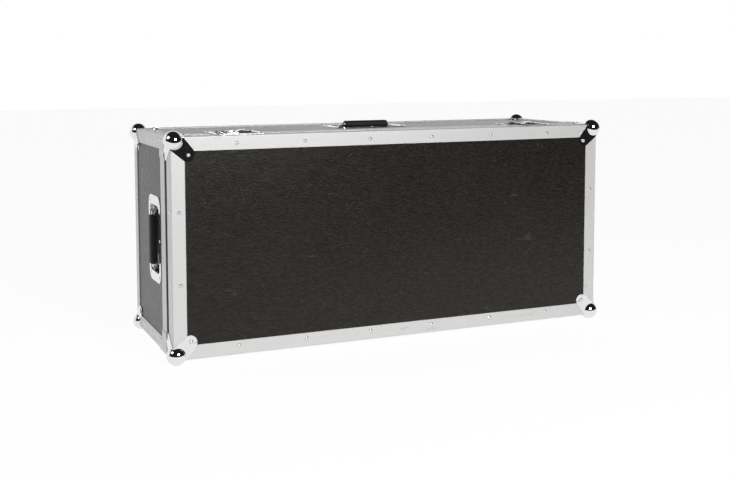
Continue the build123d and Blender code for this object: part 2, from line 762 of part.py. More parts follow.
with BuildPart() as handle_springs:
    coil_radius = bail_rod_radius + spring_play + spring_wire / 2
    coil_length = spring_turns * spring_pitch
    coil_end = socket_x - handle_sheet - stack_gap - spring_wire / 2
    for side in (-1, 1):
        start_x = side * coil_end
        centre = (start_x, bail_pivot_across, -bail_pivot_depth)
        with BuildLine() as coil:
            Helix(spring_pitch, coil_length, coil_radius, center=centre, direction=(-side, 0, 0))
        with BuildSketch(Plane(coil.line @ 0, z_dir=coil.line % 0)) as wire:
            RegularPolygon(spring_wire / 2, spring_wire_sides)
        sweep(wire.sketch, path=coil.line, is_frenet=True)

for where, frame in handle_frames.items():
    place = frame.location
    save(handle_dish, f"{where}_handle_dish", place)
    save(handle_bail, f"{where}_handle_bail", place)
    save(handle_grip, f"{where}_handle_grip", place)
    save(handle_springs, f"{where}_handle_springs", place)

# Hinges under the mouth's bottom edge, each in a frame whose origin is on the hinge's axis
hinge_z = bottom_z - knuckle_play - knuckle_radius
face_above = bottom_z - hinge_z
rail_far = seam_gap / 2 + rail_width + slot_play


def hinge_leaf_piece(side, spans, other_spans):
    """One leaf on the given side of the seam: a cranked plate, its knuckles, and gaps for the other's."""
    with BuildPart() as leaf:
        end_plane = Plane((-hinge_width / 2, 0, 0), x_dir=(0, 1, 0), z_dir=(1, 0, 0))
        crank_y, crank_z = side * (rail_far + wall), face_above + wall - hinge_sheet
        with BuildSketch(end_plane) as section:
            with BuildLine():
                Polyline(
                    (0, face_above), (side * rail_far, face_above), (side * rail_far, face_above + wall),
                    (side * hinge_leaf, face_above + wall), (side * hinge_leaf, crank_z), (crank_y, crank_z),
                    (crank_y, face_above - hinge_sheet), (0, face_above - hinge_sheet), close=True,
                )
            make_face()
        facing = 1 if section.sketch.face().normal_at().X > 0 else -1
        extrude(section.sketch, amount=facing * hinge_width)
        clear = knuckle_radius + 2 * knuckle_play
        for low_x, high_x in other_spans:
            block((low_x, -clear, -clear), (high_x, clear, clear + wall), Mode.SUBTRACT)
        for low_x, high_x in spans:
            with Locations(Location(((low_x + high_x) / 2, 0, 0), (0, 90, 0))):
                Cylinder(knuckle_radius, high_x - low_x)
        with Locations(Location((0, 0, 0), (0, 90, 0))):
            Cylinder(hinge_pin_radius + running_play, 2 * hinge_width, mode=Mode.SUBTRACT)
    return leaf


half_middle = middle_knuckle / 2
half_hinge = hinge_width / 2
outer_spans = [(-half_hinge, -half_middle), (half_middle, half_hinge)]
lid_span = [(-half_middle + knuckle_play, half_middle - knuckle_play)]
lid_gaps = [(-half_hinge - wall, -half_middle + knuckle_play), (half_middle - knuckle_play, half_hinge + wall)]
hinge_base_leaf = hinge_leaf_piece(1, outer_spans, [(-half_middle, half_middle)])
hinge_lid_leaf = hinge_leaf_piece(-1, lid_span, lid_gaps)
with BuildPart() as hinge_pin:
    with Locations(Location((0, 0, 0), (0, 90, 0))):
        Cylinder(hinge_pin_radius, hinge_width)
    for side in (-1, 1):
        middle = side * (half_hinge + hinge_pin_head_length / 2)
        with Locations(Location((middle, 0, 0), (0, 90, 0))):
            Cylinder(hinge_pin_head, hinge_pin_head_length)

for side, x in (("left", -half_length + hinge_from_end), ("right", half_length - hinge_from_end)):
    place = Location((x, seam_y, hinge_z))
    save(hinge_base_leaf, f"{side}_hinge_base_leaf", place)
    save(hinge_lid_leaf, f"{side}_hinge_lid_leaf", place)
    save(hinge_pin, f"{side}_hinge_pin", place)

# Foam linings. The base's is glued up from planks and blocks, with the glue lines left as narrow gaps.
lining_inset = slot_inset + slot_play + foam_play
lining_half_length = half_length - lining_inset
lining_bottom = bottom_z + lining_inset
lining_top = top_z - lining_inset
lining_front = base_mouth_y + slot_play
lining_back = back_y - lining_inset
core_half_length = half_length - handle_pocket_depth - hardware_room
core_top = top_z - latch_depth - hardware_room
cradle_radius = cradle_width / 2
cradle_half_length = cradle_length / 2
cradle_low_z = lining_bottom + cradle_low_wall
cradle_middle_z = cradle_low_z + cradle_radius
cradle_high_z = cradle_low_z + cradle_width
cradle_floor_y = lining_back - base_foam_floor
cradle_arc_y = cradle_floor_y - cradle_radius
pocket_low_z = cradle_high_z + pocket_wall
pocket_high_z = pocket_low_z + pocket_width
pocket_floor_y = lining_front + pocket_depth


def foam_block(low, high):
    """Add a block of foam that fills the space between two corners, less its share of the glue lines."""
    block([a + foam_joint / 2 for a in low], [b - foam_joint / 2 for b in high])


def glue_line(low, high, axis):
    """Part the foam along a plane: two corners that share the coordinate on one axis."""
    start, end = list(low), list(high)
    start[axis] -= foam_joint / 2
    end[axis] += foam_joint / 2
    block(start, end, Mode.SUBTRACT)


with BuildPart() as base_foam_planks:
    for low_z, high_z in (
        (lining_bottom, cradle_low_z),
        (cradle_high_z, pocket_low_z),
        (pocket_high_z, core_top),
    ):
        foam_block((-core_half_length, lining_front, low_z), (core_half_length, lining_back, high_z))
save(base_foam_planks, "base_foam_planks")

with BuildPart() as base_foam_cradle:
    for low_x, high_x in ((-core_half_length, -cradle_half_length), (cradle_half_length, core_half_length)):
        foam_block((low_x, lining_front, cradle_low_z), (high_x, lining_back, cradle_high_z))
    foam_block(
        (-cradle_half_length, cradle_floor_y, cradle_low_z),
        (cradle_half_length, lining_back, cradle_high_z),
    )
    turns = [step * cradle_arc_step for step in range(int(90 / cradle_arc_step) + 1)]
    levels = [cradle_arc_y + cradle_radius * sin(radians(turn)) for turn in turns]
    for low_z, high_z in ((cradle_low_z, cradle_middle_z), (cradle_middle_z, cradle_high_z)):
        for low_y, high_y in zip(levels, levels[1:]):
            foam_block((-cradle_half_length, low_y, low_z), (cradle_half_length, high_y, high_z))
    with Locations(Location((0, cradle_arc_y, cradle_middle_z), (0, 90, 0))):
        Cylinder(cradle_radius, cradle_length, mode=Mode.SUBTRACT)
save(base_foam_cradle, "base_foam_cradle")

with BuildPart() as base_foam_pockets:
    walls = [-core_half_length]
    for number in range(pocket_count):
        middle_x = (number - (pocket_count - 1) / 2) * (pocket_length + pocket_wall)
        walls += [middle_x - pocket_length / 2, middle_x + pocket_length / 2]
    walls.append(core_half_length)
    for low_x, high_x in zip(walls[::2], walls[1::2]):
        foam_block((low_x, lining_front, pocket_low_z), (high_x, pocket_floor_y, pocket_high_z))
    foam_block(
        (-core_half_length, pocket_floor_y, pocket_low_z),
        (core_half_length, lining_back, pocket_high_z),
    )
save(base_foam_pockets, "base_foam_pockets")

with BuildPart() as base_foam_fillers:
    foam_block((-lining_half_length, lining_front, core_top), (lining_half_length, lining_back, lining_top))
    end_spans = ((-lining_half_length, -core_half_length), (core_half_length, lining_half_length))
    for low_x, high_x in end_spans:
        foam_block((low_x, lining_front, lining_bottom), (high_x, lining_back, core_top))
    cut_latch_pockets()
    cut_handle_pocket(handle_frames["top"], hardware_room, latch_depth)
    cut_handle_pocket(handle_frames["left"], hardware_room)
    cut_handle_pocket(handle_frames["right"], hardware_room)
    latch_hole_reach = latch_half_pocket + cutout_play
    handle_hole_reach = handle_hole_length / 2 + hardware_room
    for middle_x, hole_reach in (
        (latch_xs["left"], latch_hole_reach),
        (0, handle_hole_reach),
        (latch_xs["right"], latch_hole_reach),
    ):
        for x in (middle_x - hole_reach, middle_x + hole_reach):
            glue_line((x, lining_front, core_top), (x, lining_back, lining_top), 0)
    for z in (end_handle_z - handle_hole_reach, end_handle_z + handle_hole_reach):
        for low_x, high_x in end_spans:
            glue_line((low_x, lining_front, z), (high_x, lining_back, z), 2)
save(base_foam_fillers, "base_foam_fillers")

with BuildPart() as lid_foam:
    foam_back = front_y + lining_inset
    foam_front = foam_back + lid_foam_thickness
    block((-lining_half_length, foam_back, lining_bottom), (lining_half_length, foam_front, lining_top))
    with BuildSketch(Plane((0, foam_front, middle_z), x_dir=(1, 0, 0), z_dir=(0, 1, 0))) as hollow:
        RectangleRounded(
            2 * (lining_half_length - lid_hollow_margin),
            lining_top - lining_bottom - 2 * lid_hollow_margin,
            lid_hollow_corner,
        )
    extrude(hollow.sketch, amount=-lid_hollow_depth, mode=Mode.SUBTRACT)
    cut_latch_pockets()
save(lid_foam, "lid_foam")
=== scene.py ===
# %% [markdown]
# # A flight case for a telescope
#
# The case is a long box of laminated boards held in aluminium angles. It stands on one of its long narrow
# sides. The shallow half that faces us is the lid, hinged along the bottom, with two sunk latches on the
# top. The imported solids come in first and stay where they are. Blender gives them their finishes and adds
# the small fasteners and the soft lining.

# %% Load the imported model
import bmesh
import bpy
import math
from mathutils import Matrix, Vector, noise


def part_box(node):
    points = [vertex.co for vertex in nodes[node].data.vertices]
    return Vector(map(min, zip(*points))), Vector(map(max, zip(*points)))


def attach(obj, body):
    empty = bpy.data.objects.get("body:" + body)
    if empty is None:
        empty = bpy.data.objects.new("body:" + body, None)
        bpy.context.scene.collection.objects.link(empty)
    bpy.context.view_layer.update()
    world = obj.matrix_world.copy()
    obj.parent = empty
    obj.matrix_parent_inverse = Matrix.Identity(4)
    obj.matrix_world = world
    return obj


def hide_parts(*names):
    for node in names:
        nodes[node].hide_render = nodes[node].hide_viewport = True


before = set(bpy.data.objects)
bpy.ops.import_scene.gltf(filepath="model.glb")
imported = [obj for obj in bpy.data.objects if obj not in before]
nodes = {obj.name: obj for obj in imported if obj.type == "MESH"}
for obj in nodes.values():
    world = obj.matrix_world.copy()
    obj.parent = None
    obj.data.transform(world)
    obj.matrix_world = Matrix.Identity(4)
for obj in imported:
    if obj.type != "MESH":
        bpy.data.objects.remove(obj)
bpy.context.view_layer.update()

# %% [markdown]
# ## The camera
#
# The photograph was taken with a long lens from the front left, a little above the case. The case's
# straight edges fix the camera: three axes, a place and a focal length. The film is shifted, because the
# photograph was cropped off centre. Shifting it keeps the uprights as they are, which turning the camera
# wouldn't.

# %% Camera
IMAGE_WIDTH, IMAGE_HEIGHT = 730, 480
FOCAL_PIXELS = 1038.48
CENTRE_PIXEL = (332.76, 149.18)
CAMERA_PLACE = Vector((-1.0393, -2.2660, 0.6232))
CAMERA_RIGHT = Vector((0.92285513, -0.38512816, -0.00383384))
CAMERA_DOWN = Vector((-0.03380716, -0.07108584, -0.99689713))
CAMERA_AHEAD = Vector((0.38366063, 0.92012124, -0.07862202))

camera_data = bpy.data.cameras.new("camera")
camera = bpy.data.objects.new("camera", camera_data)
bpy.context.scene.collection.objects.link(camera)
turn = Matrix((CAMERA_RIGHT, -CAMERA_DOWN, -CAMERA_AHEAD)).transposed()
camera.matrix_world = Matrix.Translation(CAMERA_PLACE) @ turn.to_4x4()
camera_data.sensor_width = 36
camera_data.lens = FOCAL_PIXELS * camera_data.sensor_width / IMAGE_WIDTH
camera_data.shift_x = (IMAGE_WIDTH / 2 - CENTRE_PIXEL[0]) / IMAGE_WIDTH
camera_data.shift_y = (CENTRE_PIXEL[1] - IMAGE_HEIGHT / 2) / IMAGE_WIDTH
camera_data.clip_start = 0.05
bpy.context.scene.camera = camera
bpy.context.scene.view_settings.view_transform = "Standard"
shift = (round(camera_data.shift_x, 4), round(camera_data.shift_y, 4))
print("lens:", round(camera_data.lens, 2), "shift:", shift)

# %% [markdown]
# ## Writing a finish as sums
#
# A finish is a tree of small nodes. Drawn by hand, "two parts grain and one part dust" is six boxes and
# eight wires. Here a value on a wire is wrapped in a small class, so that the same thing is written as a
# sum, and Python adds the nodes. One function makes a node of any kind in any tree: a finish, the rivets,
# the paper or the room.


# %% One node in any tree
def add_node(tree, kind, settings=None, sockets=None):
    """Add a node, set it up, and give its sockets their values or links."""
    made = tree.nodes.new(kind)
    for name, value in (settings or {}).items():
        setattr(made, name, value)
    for name, value in (sockets or {}).items():
        if isinstance(value, bpy.types.NodeSocket):
            tree.links.new(value, made.inputs[name])
        else:
            made.inputs[name].default_value = value
    return made.outputs


print("a node is now one call:", add_node.__name__)


# %% Values and finishes
class Value:
    """A number that varies over a surface, written in sums as a plain number is."""

    def __init__(self, finish, socket):
        self.finish = finish
        self.socket = socket

    def _sum(self, operation, *others):
        sockets = dict(enumerate((self, *others)))
        return self.finish.node("ShaderNodeMath", {"operation": operation}, sockets)

    def __add__(self, other):
        return self._sum("ADD", other)

    __radd__ = __add__

    def __mul__(self, other):
        return self._sum("MULTIPLY", other)

    __rmul__ = __mul__

    def __sub__(self, other):
        return self._sum("SUBTRACT", other)

    def __rsub__(self, other):
        return self * -1 + other

    def clamped(self):
        return self._sum("MINIMUM", 1)._sum("MAXIMUM", 0)


class Finish:
    """A material, its shader and the nodes that vary it."""

    def __init__(self, name, **constants):
        self.material = bpy.data.materials.new(name)
        self.material.use_nodes = True
        self.tree = self.material.node_tree
        self.shader = self.tree.nodes["Principled BSDF"]
        for socket, value in constants.items():
            self.shader.inputs[socket.replace("_", " ")].default_value = value
        self.place = self.node("ShaderNodeTexCoord", {}, {}, "Object")

    def node(self, kind, settings, sockets, output=0):
        """Add a node to the finish, and return one of its outputs as a value."""
        plain = {name: value.socket if isinstance(value, Value) else value for name, value in sockets.items()}
        return Value(self, add_node(self.tree, kind, settings, plain)[output])

    def stretched(self, x, y, z):
        """Places on the surface, with the pattern drawn out where the scale is small."""
        return self.node("ShaderNodeMapping", {}, {"Vector": self.place, "Scale": (x, y, z)})

    def noise(self, scale, detail=2.0, roughness=0.5, place=None):
        """Soft random patches between 0 and 1."""
        sockets = {"Vector": place or self.place, "Scale": scale, "Detail": detail, "Roughness": roughness}
        return self.node("ShaderNodeTexNoise", {}, sockets)

    def ramp(self, value, *stops):
        """Turn a value into another along straight runs between (place, result) stops."""
        start, end = stops[0], stops[-1]
        sockets = {"Value": value, 1: start[0], 2: end[0], 3: start[1], 4: end[1]}
        return self.node("ShaderNodeMapRange", {"clamp": True}, sockets)

    def colour(self, first, second, amount):
        """Blend two colours by an amount."""
        ends = [end if isinstance(end, Value) else (*end, 1) for end in (first, second)]
        settings = {"data_type": "RGBA", "clamp_factor": True}
        return self.node("ShaderNodeMix", settings, {0: amount, 6: ends[0], 7: ends[1]}, 2)

    def drive(self, **values):
        """Feed the shader's sockets."""
        for socket, value in values.items():
            self.tree.links.new(value.socket, self.shader.inputs[socket.replace("_", " ")])
        return self

    def relief(self, height, strength, distance):
        """Raise and sink the surface by a value."""
        sockets = {"Height": height, "Strength": strength, "Distance": distance}
        bump = self.node("ShaderNodeBump", {}, sockets, "Normal")
        return self.drive(Normal=bump)


print("finishes can now be written as sums")

# %% [markdown]
# ## Aluminium
#
# Edge angles are pushed through a die, then lightly brushed along their length and anodised. That leaves a
# milky grey with fine lines that run one way, a few handling scratches and faint smudges. The lines are
# noise stretched a hundredfold along the section. Uprights, long runs and short runs need the lines along
# different axes, so the same recipe is made three times.


# %% Aluminium, one for each direction of the lines
def aluminium(name, line_scale, tone):
    finish = Finish(name, Metallic=0.45, Specular_IOR_Level=0.5)
    lines = finish.noise(1.0, 3.0, 0.6, finish.stretched(*line_scale))
    fine = finish.noise(2.7, 2.0, 0.6, finish.stretched(*line_scale))
    smudge = finish.noise(9.0, 4.0, 0.55)
    cloud = finish.noise(2.3, 2.0, 0.5)
    scratch = finish.noise(60.0, 2.0, 0.7, finish.stretched(0.35, 1.3, 0.9))
    scratched = finish.ramp(scratch, (0.655, 0), (0.70, 1)) * finish.ramp(cloud, (0.5, 0), (0.62, 1))
    grey = lines * 0.5 + fine * 0.3 + smudge * 0.2
    base = finish.colour([tone * 0.90] * 3, (tone * 1.07, tone * 1.065, tone * 1.05), grey)
    base = finish.colour(base, (0.60, 0.60, 0.60), scratched * 0.5)
    rough = 0.42 + lines * 0.14 + smudge * 0.08 + scratched * 0.1
    finish.drive(Base_Color=base, Roughness=rough)
    finish.relief(lines * 0.7 + fine * 0.3 - scratched * 0.5, 0.10, 0.0006)
    return finish.material


TONE = 0.80
aluminium_x = aluminium("aluminium_lines_along_case", (6, 700, 700), TONE)
aluminium_y = aluminium("aluminium_lines_front_to_back", (700, 6, 700), TONE)
aluminium_z = aluminium("aluminium_lines_upright", (700, 700, 6), TONE)
print("aluminium:", aluminium_x.name, aluminium_y.name, aluminium_z.name)

# %% [markdown]
# ## Laminate
#
# The boards are plywood under a hard melamine sheet. Its black-brown surface has short raised flecks, a few
# millimetres long, all lying lengthways. Up close they break the sheen into specks. Noise stretched along
# the case gives the flecks, a sharp threshold makes them distinct, and the same value drives colour, gloss
# and relief, so that a fleck is paler, smoother and higher all at once.


# %% Laminate for the large panels
def laminate(name, dark, pale, along, rough, specular):
    finish = Finish(name, Specular_IOR_Level=specular)
    scale = [90.0 if axis == along else 520.0 for axis in "xyz"]
    fleck = finish.noise(1.0, 3.0, 0.65, finish.stretched(*scale))
    speck = finish.noise(1.9, 2.0, 0.5, finish.stretched(*scale))
    cloud = finish.noise(3.0, 3.0, 0.5)
    raised = finish.ramp(fleck, (0.46, 0), (0.60, 1))
    spot = finish.ramp(speck, (0.60, 0), (0.68, 1))
    base = finish.colour(dark, pale, (raised * 0.55 + spot * 0.35 + cloud * 0.25).clamped())
    scuff = finish.ramp(finish.noise(26.0, 4.0, 0.7, finish.stretched(0.5, 1, 1.6)), (0.64, 0), (0.72, 1))
    base = finish.colour(base, (0.10, 0.095, 0.09), scuff * 0.35)
    finish.drive(Base_Color=base, Roughness=rough + 0.10 * cloud - 0.10 * raised + 0.1 * scuff)
    finish.relief(raised * 0.8 + spot * 0.5, 0.28, 0.0004)
    return finish.material


panel_laminate = laminate("laminate_flecked", (0.008, 0.0065, 0.0055), (0.042, 0.035, 0.030), "x", 0.27, 0.28)
end_laminate = laminate("laminate_flecked_end", (0.010, 0.009, 0.009), (0.034, 0.031, 0.030), "z", 0.32, 0.40)
print("laminate:", panel_laminate.name, end_laminate.name)

# %% Matt black boards in the lid's sides
strip = Finish("board_matt_black", Specular_IOR_Level=0.18)
strip_grain = strip.noise(1.0, 3.0, 0.6, strip.stretched(60, 420, 420))
strip_dust = strip.noise(40.0, 4.0, 0.6)
strip_share = strip_grain * 0.6 + strip_dust * 0.4
strip.drive(
    Base_Color=strip.colour((0.010, 0.010, 0.010), (0.034, 0.033, 0.032), strip_share),
    Roughness=0.62 + 0.2 * strip_dust,
)
strip.relief(strip_grain, 0.22, 0.0004)
print("strip:", strip.material.name)

# %% [markdown]
# ## Chrome
#
# The ball corners are pressed from sheet and plated. Plating mirrors the room, so most of its look comes
# from the lights. What the finish adds is a slight ripple from the press, and fine rubbed marks where the
# case is set down.


# %% Chrome, bright and satin
def plated(name, tone, rough, ripple, dull):
    finish = Finish(name, Metallic=1.0)
    wave = finish.noise(55.0, 2.0, 0.5)
    rubbed = finish.noise(240.0, 3.0, 0.7, finish.stretched(1, 0.3, 0.6))
    marks = finish.ramp(rubbed, (0.60, 0), (0.72, 1))
    base = finish.colour((tone, tone, tone * 1.01), [tone * dull] * 3, marks * 0.5 + wave * 0.3)
    finish.drive(Base_Color=base, Roughness=rough + wave * rough * 0.6 + marks * 0.10)
    finish.relief(wave * ripple + marks * 0.05, 0.25, 0.0008)
    return finish.material


chrome = plated("chrome_pressed", 0.80, 0.055, 0.5, 0.88)
nickel = plated("nickel_satin", 0.78, 0.11, 0.35, 0.82)
zinc = plated("zinc_bright", 0.66, 0.22, 0.25, 0.78)
rivet_metal = plated("rivet_bright", 0.82, 0.24, 0.2, 0.85)
steel_dull = plated("steel_dull", 0.46, 0.33, 0.3, 0.72)
print("plated:", chrome.name, nickel.name, zinc.name, steel_dull.name)

# %% [markdown]
# ## Grip rubber and foam
#
# The grips are moulded over the steel in a dull black compound with a fine spark texture. The lining is a
# charcoal closed-cell foam: its cells show as tiny pits, so a cell pattern drives its relief, and also
# darkens its colour in the pits as painted shade.

# %% Rubber
rubber = Finish("grip_compound", Specular_IOR_Level=0.35)
rubber_grain = rubber.noise(900.0, 2.0, 0.6)
rubber_wear = rubber.noise(35.0, 3.0, 0.5)
rubber_share = rubber_grain * 0.5 + rubber_wear * 0.5
rubber.drive(
    Base_Color=rubber.colour((0.005, 0.005, 0.0055), (0.016, 0.016, 0.017), rubber_share),
    Roughness=0.46 + 0.22 * rubber_wear + 0.08 * rubber_grain,
)
rubber.relief(rubber_grain, 0.3, 0.0003)
print("rubber:", rubber.material.name)


# %% Foam
def foam_finish(name, dark, pale):
    finish = Finish(name, Roughness=0.95, Specular_IOR_Level=0.15)
    cells = finish.node("ShaderNodeTexVoronoi", {}, {"Vector": finish.place, "Scale": 620.0}, "Distance")
    coarse = finish.noise(45.0, 4.0, 0.6)
    # The pits sink in the relief and are darkened in colour: that darkening is painted shade.
    pit_and_painted_shade = finish.ramp(cells, (0.15, 0), (0.6, 1))
    finish.drive(Base_Color=finish.colour(dark, pale, (pit_and_painted_shade * 0.6 + coarse * 0.5).clamped()))
    finish.relief(pit_and_painted_shade * 0.5 + coarse * 0.3, 0.45, 0.0008)
    return finish.material


foam = foam_finish("foam_charcoal", (0.016, 0.016, 0.018), (0.060, 0.060, 0.064))
print("foam:", foam.name)

# %% [markdown]
# ## Giving each solid its finish
#
# The solids already have their true shapes, so they only change material. The lines in the aluminium follow
# each section, so the name of the solid says which direction it gets. The first word that is found in the
# name decides. A few solids hold sections that run two ways: their faces are given one of two slots, by
# where they lie.


# %% Finishes by name
def paint(node, *materials):
    slots = nodes[node].data.materials
    slots.clear()
    for material in materials:
        slots.append(material)


BY_WORD = (
    ("left_panel", end_laminate), ("right_panel", end_laminate), ("panel", panel_laminate),
    ("board", strip.material), ("grip", rubber.material), ("ball_corners", chrome),
    ("wing", nickel), ("rotor", nickel),
    ("spring", steel_dull), ("pin", steel_dull), ("hook", steel_dull), ("keeper", steel_dull),
    ("bail", zinc), ("hinge", zinc), ("dish", nickel), ("foam", foam),
    ("side_edges", aluminium_y), ("corner_braces", aluminium_y),
)
for name in nodes:
    found = [finish for word, finish in BY_WORD if word in name]
    paint(name, *(found[:1] or (aluminium_x, aluminium_z)))
print("painted:", len(nodes))


# %% Uprights get upright lines
def upright_faces(node, margin=0.036):
    """Give the second finish to the faces that lie near the ends of the case."""
    low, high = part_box(node)
    mesh = nodes[node].data
    turned = 0
    for face in mesh.polygons:
        middle = face.center
        near_end = min(middle.x - low.x, high.x - middle.x) < margin
        near_level = min(middle.z - low.z, high.z - middle.z) < margin
        face.material_index = 1 if near_end and not near_level else 0
        turned += face.material_index
    return turned


for node in ("base_back_edges", "lid_face_edges", "base_mouth_rail", "lid_mouth_rail"):
    print(node, "upright faces:", upright_faces(node))

# %% [markdown]
# ## Rivets
#
# Every angle is riveted to its board, and every corner to the angles. A rivet is a small dome on a thin
# flange. There are over a hundred, all alike, so one dome is made and Geometry Nodes puts a copy on each of
# a list of points, turned to face out of the surface. The points come from the sizes of the solids, so a
# rivet never floats.


# %% A tree that sets a dome on each point
def rivet_tree():
    tree = bpy.data.node_groups.new("rivets", "GeometryNodeTree")
    face = tree.interface
    face.new_socket(name="Points", in_out="INPUT", socket_type="NodeSocketGeometry")
    for name, value in (("Head Radius", 0.0036), ("Head Height", 0.0016), ("Flange Radius", 0.0042)):
        socket = face.new_socket(name=name, in_out="INPUT", socket_type="NodeSocketFloat")
        socket.default_value = value
    face.new_socket(name="Seed", in_out="INPUT", socket_type="NodeSocketInt").default_value = 4
    face.new_socket(name="Finish", in_out="INPUT", socket_type="NodeSocketMaterial")
    face.new_socket(name="Rivets", in_out="OUTPUT", socket_type="NodeSocketGeometry")

    def add(kind, settings=None, sockets=None):
        return add_node(tree, kind, settings, sockets)

    given = add("NodeGroupInput")
    ball = add("GeometryNodeMeshUVSphere", {}, {"Segments": 20, "Rings": 12, "Radius": 1.0})
    flat = add("ShaderNodeCombineXYZ", {},
               {"X": given["Head Radius"], "Y": given["Head Radius"], "Z": given["Head Height"]})
    dome = add("GeometryNodeTransform", {}, {"Geometry": ball["Mesh"], "Scale": flat["Vector"]})
    disc = add("GeometryNodeMeshCylinder", {},
               {"Vertices": 20, "Radius": given["Flange Radius"], "Depth": 0.0008})
    both = tree.nodes.new("GeometryNodeJoinGeometry")
    tree.links.new(dome["Geometry"], both.inputs[0])
    tree.links.new(disc["Mesh"], both.inputs[0])
    outward = add("GeometryNodeInputNamedAttribute", {"data_type": "FLOAT_VECTOR"}, {"Name": "outward"})
    turned = add("FunctionNodeAlignRotationToVector", {"axis": "Z"}, {"Vector": outward["Attribute"]})
    size = add("FunctionNodeRandomValue", {"data_type": "FLOAT"}, {2: 0.96, 3: 1.04, "Seed": given["Seed"]})
    size_socket = next(s for s in size if s.enabled)
    copies = add("GeometryNodeInstanceOnPoints", {},
                 {"Points": given["Points"], "Instance": both.outputs[0], "Rotation": turned["Rotation"],
                  "Scale": size_socket})
    real = add("GeometryNodeRealizeInstances", {}, {"Geometry": copies["Instances"]})
    smooth = add("GeometryNodeSetShadeSmooth", {}, {"Geometry": real["Geometry"]})
    done = add("GeometryNodeSetMaterial", {}, {"Geometry": smooth["Geometry"], "Material": given["Finish"]})
    add("NodeGroupOutput", {}, {0: done["Geometry"]})
    return tree


RIVETS = rivet_tree()
print("rivet tree nodes:", len(RIVETS.nodes))


# %% From points to one plain mesh
def rivet_row(name, body, slot, seats, material, sizes=()):
    """Make one mesh of rivets from (place, outward) seats, riding on a body."""
    points = bpy.data.meshes.new(name + "_points")
    points.from_pydata([place for place, _ in seats], [], [])
    outward = points.attributes.new("outward", "FLOAT_VECTOR", "POINT")
    for item, (_, direction) in zip(outward.data, seats):
        item.vector = direction
    piece = bpy.data.objects.new(name, points)
    bpy.context.scene.collection.objects.link(piece)
    modifier = piece.modifiers.new("rivets", "NODES")
    modifier.node_group = RIVETS
    inputs = {item.name: item.identifier for item in RIVETS.interface.items_tree if item.in_out == "INPUT"}
    modifier[inputs["Finish"]] = material
    for label, value in sizes:
        modifier[inputs[label]] = value
    seen = piece.evaluated_get(bpy.context.evaluated_depsgraph_get())
    mesh = bpy.data.meshes.new_from_object(seen)
    piece.modifiers.clear()
    piece.data = mesh
    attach(piece, body)
    print(name, "rivets:", len(seats), "triangles:", sum(len(p.vertices) - 2 for p in mesh.polygons))


print("a row of seats becomes one mesh:", rivet_row.__name__)

# %% [markdown]
# ## Where the rivets sit
#
# Along each long angle there are six, evenly spaced, on the visible leg. Uprights have two. Each ball
# corner has one on each of its three leaves, each brace of the base three on each arm, and each of the
# lid's two. The plates of the handles, latches and hinges are held by smaller ones. The lid's sides are
# narrow, so its rows there sit a little closer to the edge.

# %% Rows along the angles
low, high = (Vector(c) for c in (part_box("lid_face_edges")[0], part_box("base_back_edges")[1]))
FRONT, BACK, LEFT, RIGHT = low.y, high.y, low.x, high.x
BOTTOM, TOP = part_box("base_mouth_rail")[0].z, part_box("base_mouth_rail")[1].z
MIDDLE = (BOTTOM + TOP) / 2
SEAM = (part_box("base_corner_braces")[0].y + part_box("lid_corner_braces")[1].y) / 2
LONG_PLACES = [side * step for step in (0.0773, 0.232, 0.3866) for side in (-1, 1)]
UPRIGHT_PLACES = [MIDDLE + side * 0.0765 for side in (-1, 1)]
DEPTH_PLACES = [BACK - step for step in (0.075, 0.150, 0.215)]
FROM_EDGE, LID_FROM_EDGE, BOTTOM_LIFT = 0.0175, 0.0150, 0.002
ROW_REACH = 0.30


def edge_seats(face_y, outward_y):
    """Seats round one rectangular frame: the front or the back of the case."""
    seats = []
    for x in LONG_PLACES:
        for z in (BOTTOM + FROM_EDGE + BOTTOM_LIFT, TOP - FROM_EDGE):
            seats.append(((x, face_y, z), (0, outward_y, 0)))
    for z in UPRIGHT_PLACES:
        for x in (LEFT + FROM_EDGE, RIGHT - FROM_EDGE):
            seats.append(((x, face_y, z), (0, outward_y, 0)))
    return seats


lid_seats = edge_seats(FRONT, -1)
base_seats = edge_seats(BACK, 1)
for y in DEPTH_PLACES:
    for z in (BOTTOM + FROM_EDGE, TOP - FROM_EDGE):
        base_seats.append(((LEFT, y, z), (-1, 0, 0)))
        base_seats.append(((RIGHT, y, z), (1, 0, 0)))
    for x in (LEFT + FROM_EDGE, RIGHT - FROM_EDGE):
        base_seats.append(((x, y, TOP), (0, 0, 1)))
        base_seats.append(((x, y, BOTTOM), (0, 0, -1)))
for x in (place for place in LONG_PLACES if abs(place) < ROW_REACH):
    for z, up in ((TOP, 1), (BOTTOM, -1)):
        base_seats.append(((x, BACK - FROM_EDGE, z), (0, 0, up)))
        lid_seats.append(((x, FRONT + LID_FROM_EDGE, z), (0, 0, up)))
for z in UPRIGHT_PLACES:
    for x, out in ((LEFT, -1), (RIGHT, 1)):
        base_seats.append(((x, BACK - FROM_EDGE, z), (out, 0, 0)))
        lid_seats.append(((x, FRONT + LID_FROM_EDGE, z), (out, 0, 0)))
rivet_row("lid_edge_rivets", "lid", "aluminium", lid_seats, rivet_metal)
rivet_row("base_edge_rivets", "base", "aluminium", base_seats, rivet_metal)

# %% Corners and braces
LEAF_FROM_EDGE, LEAF_RISE = 0.0385, 0.0013
BRACE_RISE = 0.0016
NEAR, FAR = 0.0125, 0.0385
BASE_ROW, BASE_ROW_BACK, LID_ROW = SEAM + 0.010, SEAM + 0.032, SEAM - 0.0095


